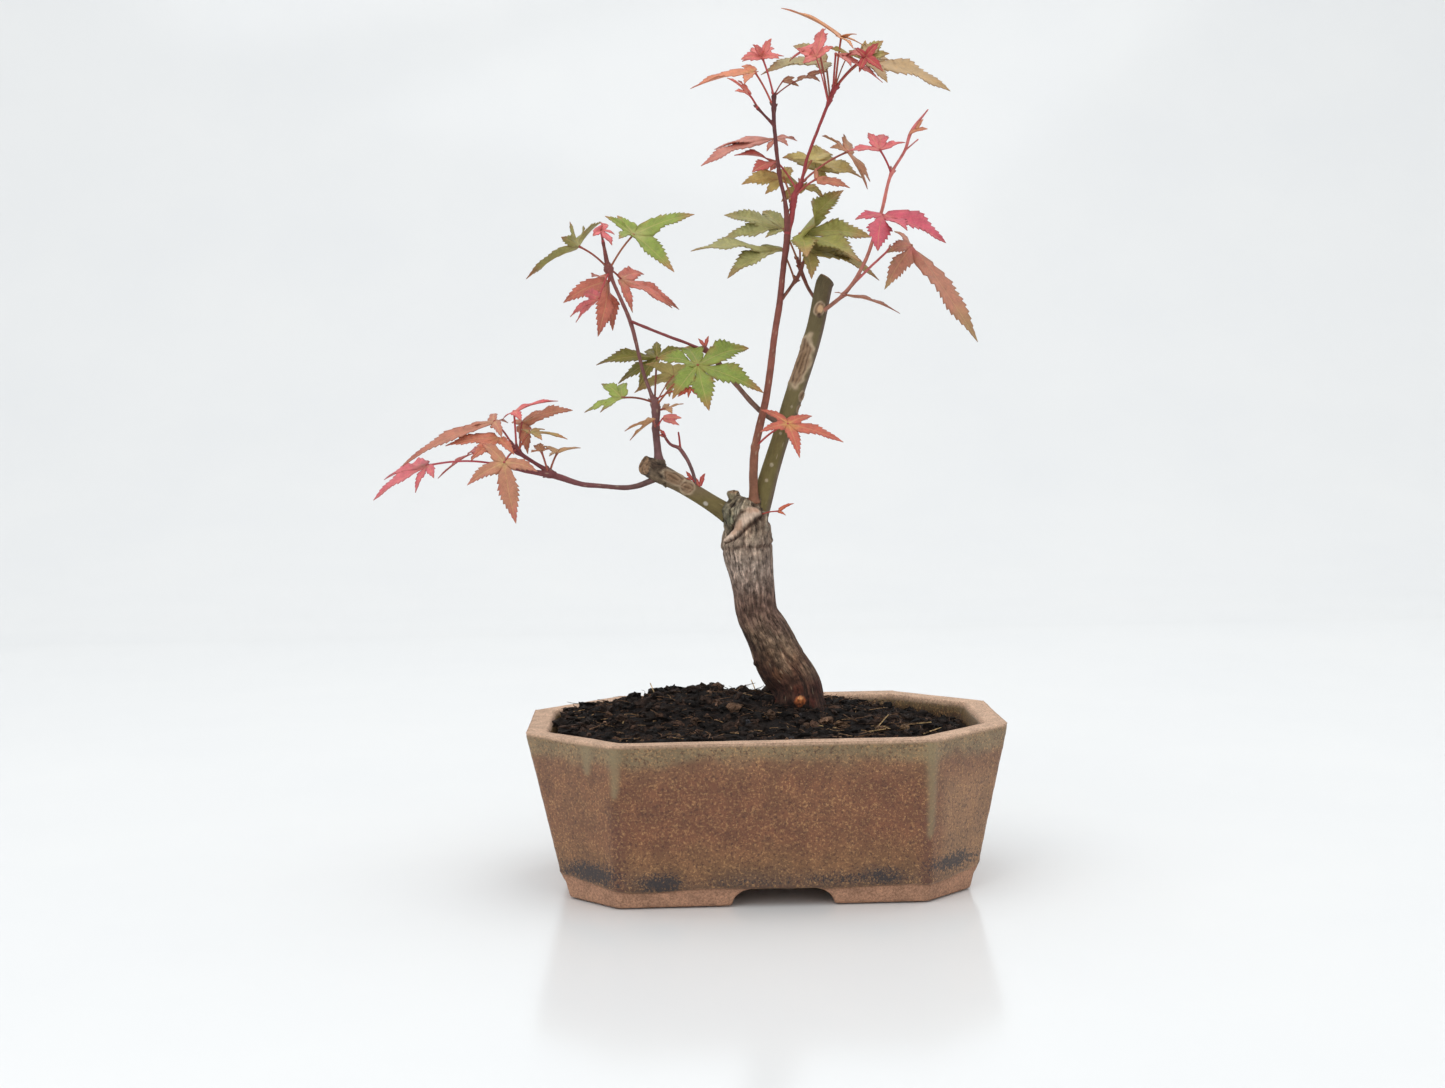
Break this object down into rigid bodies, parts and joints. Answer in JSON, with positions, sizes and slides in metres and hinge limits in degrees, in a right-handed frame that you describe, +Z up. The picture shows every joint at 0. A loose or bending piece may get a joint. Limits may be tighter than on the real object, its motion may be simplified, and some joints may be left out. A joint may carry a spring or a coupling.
{
  "type": "potted maple bonsai",
  "caption": "Small Japanese maple bonsai: an old cut-back forked trunk with young red shoots of lobed, toothed leaves, rooted in an elongated octagonal stoneware pot on a low foot.",
  "frame": {"origin": "on the surface that the pot stands on, under the middle of the whole object's box; the pot's own centre is 31 mm to the right, because the tree reaches out to the left", "axes": "+X along the pot to its right end, +Y to its back, +Z up along the tree"},
  "size_m": [0.2622, 0.135, 0.3683],
  "materials": {
    "glazed_stoneware": "satin",
    "potting_soil": "matte",
    "black_mesh": "matte",
    "clip_wire": "satin",
    "old_bark": "matte",
    "young_bark": "satin",
    "leaf_green": "satin",
    "leaf_olive": "satin",
    "leaf_ochre": "satin",
    "leaf_brown": "satin",
    "leaf_orange": "satin",
    "leaf_salmon": "satin",
    "leaf_red": "satin",
    "leaf_pink": "satin",
    "leaf_crimson": "satin"
  },
  "bodies": {
    "root": {"pot": "glazed_stoneware", "soil": "potting_soil", "drain_mesh_left": "black_mesh", "mesh_clip_left": "clip_wire", "drain_mesh_right": "black_mesh", "mesh_clip_right": "clip_wire", "trunk": "old_bark", "leader": "young_bark", "side_twig_of_leader": "young_bark", "side_twig_of_limb": "young_bark", "long_twig": "young_bark", "twiglet": "young_bark", "upper_left_shoot": "young_bark", "lower_left_shoot": "young_bark", "right_shoot": "young_bark", "leaf_lower_left_1": "leaf_pink", "leaf_lower_left_2": "leaf_salmon", "leaf_lower_left_3": "leaf_orange", "leaf_lower_left_4": "leaf_red", "leaf_lower_left_5": "leaf_ochre", "leaf_lower_left_6": "leaf_olive", "leaf_lower_left_7": "leaf_ochre", "leaf_lower_left_8": "leaf_ochre", "leaf_lower_left_9": "leaf_crimson", "leaf_upper_left_1": "leaf_green", "leaf_upper_left_2": "leaf_pink", "leaf_upper_left_3": "leaf_green", "leaf_upper_left_4": "leaf_salmon", "leaf_upper_left_5": "leaf_salmon", "leaf_upper_left_6": "leaf_pink", "leaf_left_middle_1": "leaf_green", "leaf_left_middle_2": "leaf_olive", "leaf_left_middle_3": "leaf_green", "leaf_left_middle_4": "leaf_orange", "leaf_left_middle_5": "leaf_orange", "leaf_on_leader": "leaf_red", "leaf_centre_1": "leaf_green", "leaf_centre_2": "leaf_green", "leaf_centre_3": "leaf_olive", "leaf_centre_4": "leaf_olive", "leaf_crown_1": "leaf_pink", "leaf_crown_2": "leaf_red", "leaf_crown_3": "leaf_olive", "leaf_crown_4": "leaf_ochre", "leaf_crown_5": "leaf_brown", "leaf_crown_6": "leaf_red", "leaf_top_1": "leaf_orange", "leaf_top_2": "leaf_red", "leaf_top_3": "leaf_pink", "leaf_top_4": "leaf_pink", "leaf_top_5": "leaf_olive", "leaf_top_6": "leaf_salmon", "leaf_top_7": "leaf_orange", "leaf_top_8": "leaf_brown", "leaf_right_1": "leaf_crimson", "leaf_right_2": "leaf_orange", "leaf_right_3": "leaf_salmon", "leaf_right_4": "leaf_crimson"}
  },
  "joints": []
}
